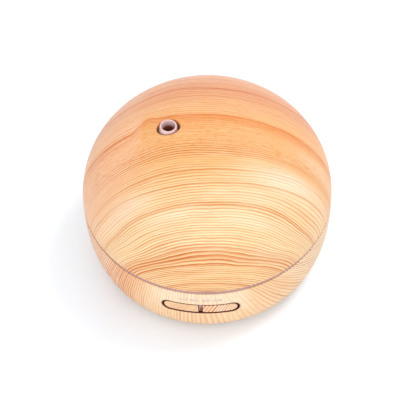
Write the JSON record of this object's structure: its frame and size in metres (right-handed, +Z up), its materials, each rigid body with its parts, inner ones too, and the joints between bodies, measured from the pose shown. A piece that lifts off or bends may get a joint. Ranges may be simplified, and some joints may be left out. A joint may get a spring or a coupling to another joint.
{
  "type": "essential oil diffuser",
  "caption": "Squat ball-shaped ultrasonic essential oil diffuser: printed wood-grain cover that lifts off a base with water tank, light ring, mist nozzle and push buttons.",
  "frame": {"origin": "centre of the underside of the feet, on the surface it stands on", "axes": "+Z up; the buttons face -Y; the mist nozzle is on the -X side; the power jack faces +Y"},
  "size_m": [0.168, 0.168, 0.1217],
  "materials": {
    "wood_grain_film": "satin printed pine-grain film over moulded plastic",
    "white_plastic": "satin moulded polypropylene",
    "milky_plastic": "milky translucent diffuser, unlit",
    "silicone": "soft silicone",
    "steel_disc": "plated ceramic transducer disc",
    "copper_coil": "enamelled copper winding",
    "heat_sink_metal": "extruded aluminium",
    "screw_steel": "zinc-plated steel",
    "dark_plastic": "dark brown moulded plastic",
    "black_plastic": "fine moulded texture",
    "capacitor_sleeve": "shrink sleeve",
    "circuit_board": "solder mask",
    "lamp_epoxy": "clear epoxy lamp",
    "foot_rubber": "matt rubber pad",
    "wire_insulation": "flexible insulation"
  },
  "bodies": {
    "base": {"base_shell": "wood_grain_film", "light_ring": "milky_plastic", "tank_gasket": "silicone", "water_tank": "white_plastic", "air_outlet_cap": "white_plastic", "piezo_disc": "steel_disc", "piezo_seal": "silicone", "piezo_clamp": "white_plastic", "piezo_screw_1": "screw_steel", "piezo_screw_2": "screw_steel", "piezo_screw_3": "screw_steel", "led_ring_board": "circuit_board", "ring_led_1": "lamp_epoxy", "ring_led_2": "lamp_epoxy", "ring_led_3": "lamp_epoxy", "ring_led_4": "lamp_epoxy", "ring_led_5": "lamp_epoxy", "ring_led_6": "lamp_epoxy", "button_frame": "dark_plastic", "control_board": "circuit_board", "light_switch": "black_plastic", "mist_switch": "black_plastic", "indicator_lens_1": "milky_plastic", "indicator_lens_2": "milky_plastic", "indicator_lens_3": "milky_plastic", "indicator_lens_4": "milky_plastic", "indicator_led_1": "lamp_epoxy", "indicator_led_2": "lamp_epoxy", "indicator_led_3": "lamp_epoxy", "indicator_led_4": "lamp_epoxy", "main_board": "circuit_board", "coil": "copper_coil", "capacitor": "capacitor_sleeve", "transistor": "black_plastic", "heat_sink": "heat_sink_metal", "power_jack": "black_plastic", "fan_frame": "black_plastic", "fan_duct": "white_plastic", "bottom_cover": "white_plastic", "foot_1": "foot_rubber", "foot_2": "foot_rubber", "foot_3": "foot_rubber", "foot_4": "foot_rubber", "base_screw_1": "screw_steel", "base_screw_2": "screw_steel", "base_screw_3": "screw_steel", "base_screw_4": "screw_steel", "piezo_wires": "wire_insulation", "fan_wires": "wire_insulation", "jack_wires": "wire_insulation", "led_wires": "wire_insulation", "button_wires": "wire_insulation"},
    "cover": {"top_cover": "wood_grain_film", "cover_liner": "white_plastic"},
    "nozzle": {"mist_nozzle": "milky_plastic"},
    "light_key": {"light_button": "wood_grain_film", "light_plunger": "black_plastic"},
    "mist_key": {"mist_button": "wood_grain_film", "mist_plunger": "black_plastic"},
    "rotor": {"fan_rotor": "black_plastic"}
  },
  "joints": [
    {"name": "cover_lift", "type": "slide", "parent": "base", "child": "cover", "axis": [0, 0, 1], "range_m": [0, 0.09]},
    {"name": "nozzle_pull", "type": "slide", "parent": "cover", "child": "nozzle", "axis": [0, 0, 1], "range_m": [0, 0.015]},
    {"name": "light_press", "type": "slide", "parent": "base", "child": "light_key", "axis": [0, 1, 0], "range_m": [0, 0.0008], "stiffness_N_per_m": 1000},
    {"name": "mist_press", "type": "slide", "parent": "base", "child": "mist_key", "axis": [0, 1, 0], "range_m": [0, 0.0008], "stiffness_N_per_m": 1000},
    {"name": "fan_spin", "type": "hinge", "parent": "base", "child": "rotor", "pos_m": [0.036, 0, 0.0099], "axis": [0, 0, 1], "continuous": true}
  ]
}
